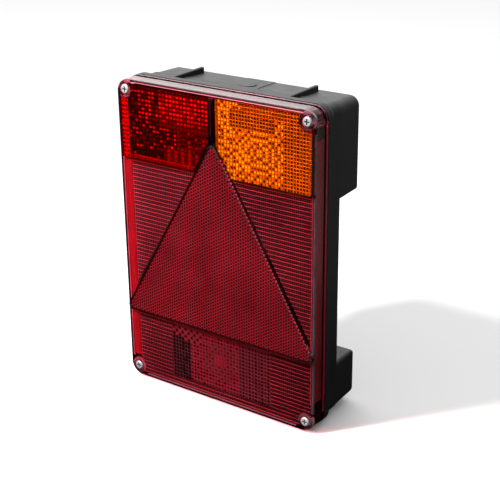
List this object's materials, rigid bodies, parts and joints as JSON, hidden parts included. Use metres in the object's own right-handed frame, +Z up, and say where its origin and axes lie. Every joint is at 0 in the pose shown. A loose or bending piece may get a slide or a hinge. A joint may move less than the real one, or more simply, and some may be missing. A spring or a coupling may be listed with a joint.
{
  "type": "trailer rear lamp",
  "caption": "Upright rectangular trailer rear lamp with fog, indicator and stop/tail windows, a triangular reflector, a removable lens and bulbs in bayonet sockets.",
  "frame": {"origin": "middle of the shallow mounting face, half way between the two studs", "axes": "+X right seen from in front, +Z up, +Y out of the mounting face into the trailer, so the lens faces -Y"},
  "size_m": [0.172, 0.0632, 0.2416],
  "materials": {
    "black_housing": "fine matt grain, semi-rough",
    "black_rubber": "soft matt",
    "zinc_steel": "bright zinc plated",
    "red_lens": "clear red moulded, ribbed inside",
    "fog_lens": "clear deep red moulded, pillow optics inside",
    "amber_lens": "clear amber moulded, pillow optics inside",
    "reflex_red": "clear red with corner-cube cells inside",
    "backing_plastic": "matt",
    "block_plastic": "satin",
    "brass": "stamped, slightly dull",
    "socket_metal": "nickel plated",
    "insulator": "satin laminate",
    "spring_steel": "bright drawn wire",
    "bulb_cap": "nickel-brass, satin",
    "bulb_glass": "clear thin glass",
    "filament": "tungsten and support wire",
    "reflector": "vacuum metallised"
  },
  "bodies": {
    "base": {"base_housing": "black_housing", "lens_gasket": "black_rubber", "cable_grommet": "black_rubber", "left_stud": "zinc_steel", "right_stud": "zinc_steel", "terminal_block": "block_plastic", "terminal_screws": "brass", "fog_busbar": "brass", "indicator_busbar": "brass", "stop_busbar": "brass", "tail_busbar": "brass", "earth_busbar": "brass", "fog_reflector": "reflector", "fog_socket": "socket_metal", "fog_contact_spring": "spring_steel", "indicator_reflector": "reflector", "indicator_socket": "socket_metal", "indicator_contact_spring": "spring_steel", "stop_tail_reflector": "reflector", "stop_tail_socket": "socket_metal", "stop_tail_contact_spring": "spring_steel"},
    "lens": {"lens_shell": "red_lens", "fog_window": "fog_lens", "indicator_window": "amber_lens", "reflex_triangle": "reflex_red", "reflex_backing": "backing_plastic"},
    "lens_screw_1": {"lens_screw_1": "zinc_steel"},
    "lens_screw_2": {"lens_screw_2": "zinc_steel"},
    "lens_screw_3": {"lens_screw_3": "zinc_steel"},
    "lens_screw_4": {"lens_screw_4": "zinc_steel"},
    "fog_plunger": {"fog_contact_plunger": "insulator"},
    "fog_bulb": {"fog_bulb_cap": "bulb_cap", "fog_bulb_glass": "bulb_glass", "fog_bulb_filament": "filament"},
    "indicator_plunger": {"indicator_contact_plunger": "insulator"},
    "indicator_bulb": {"indicator_bulb_cap": "bulb_cap", "indicator_bulb_glass": "bulb_glass", "indicator_bulb_filament": "filament"},
    "stop_tail_plunger": {"stop_tail_contact_plunger": "insulator"},
    "stop_tail_bulb": {"stop_tail_bulb_cap": "bulb_cap", "stop_tail_bulb_glass": "bulb_glass", "stop_tail_bulb_filament": "filament"}
  },
  "joints": [
    {"name": "lens_removal", "type": "slide", "parent": "base", "child": "lens", "axis": [0, -1, 0], "range_m": [0, 0.04]},
    {"name": "lens_screw_1_turn", "type": "hinge", "parent": "lens", "child": "lens_screw_1", "pos_m": [-0.0781, -0.033, 0.1273], "axis": [0, -1, 0], "continuous": true},
    {"name": "lens_screw_2_turn", "type": "hinge", "parent": "lens", "child": "lens_screw_2", "pos_m": [0.0781, -0.033, 0.1273], "axis": [0, -1, 0], "continuous": true},
    {"name": "lens_screw_3_turn", "type": "hinge", "parent": "lens", "child": "lens_screw_3", "pos_m": [-0.0781, -0.033, -0.0973], "axis": [0, -1, 0], "continuous": true},
    {"name": "lens_screw_4_turn", "type": "hinge", "parent": "lens", "child": "lens_screw_4", "pos_m": [0.0781, -0.033, -0.0973], "axis": [0, -1, 0], "continuous": true},
    {"name": "fog_bulb_push", "type": "slide", "parent": "base", "child": "fog_plunger", "axis": [0, 1, 0], "range_m": [0, 0.002], "stiffness_N_per_m": 1000, "springref_m": -0.003, "deforming": ["fog_contact_spring"]},
    {"name": "fog_bulb_turn", "type": "hinge", "parent": "fog_plunger", "child": "fog_bulb", "pos_m": [-0.0408, 0.0105, 0.1013], "axis": [0, -1, 0], "range_deg": [0, 25]},
    {"name": "indicator_bulb_push", "type": "slide", "parent": "base", "child": "indicator_plunger", "axis": [0, 1, 0], "range_m": [0, 0.002], "stiffness_N_per_m": 1000, "springref_m": -0.003, "deforming": ["indicator_contact_spring"]},
    {"name": "indicator_bulb_turn", "type": "hinge", "parent": "indicator_plunger", "child": "indicator_bulb", "pos_m": [0.0408, 0.0105, 0.1013], "axis": [0, -1, 0], "range_deg": [0, 25]},
    {"name": "stop_tail_bulb_push", "type": "slide", "parent": "base", "child": "stop_tail_plunger", "axis": [0, 1, 0], "range_m": [0, 0.002], "stiffness_N_per_m": 1000, "springref_m": -0.003, "deforming": ["stop_tail_contact_spring"]},
    {"name": "stop_tail_bulb_turn", "type": "hinge", "parent": "stop_tail_plunger", "child": "stop_tail_bulb", "pos_m": [0, 0.0105, -0.084], "axis": [0, -1, 0], "range_deg": [0, 25]}
  ]
}
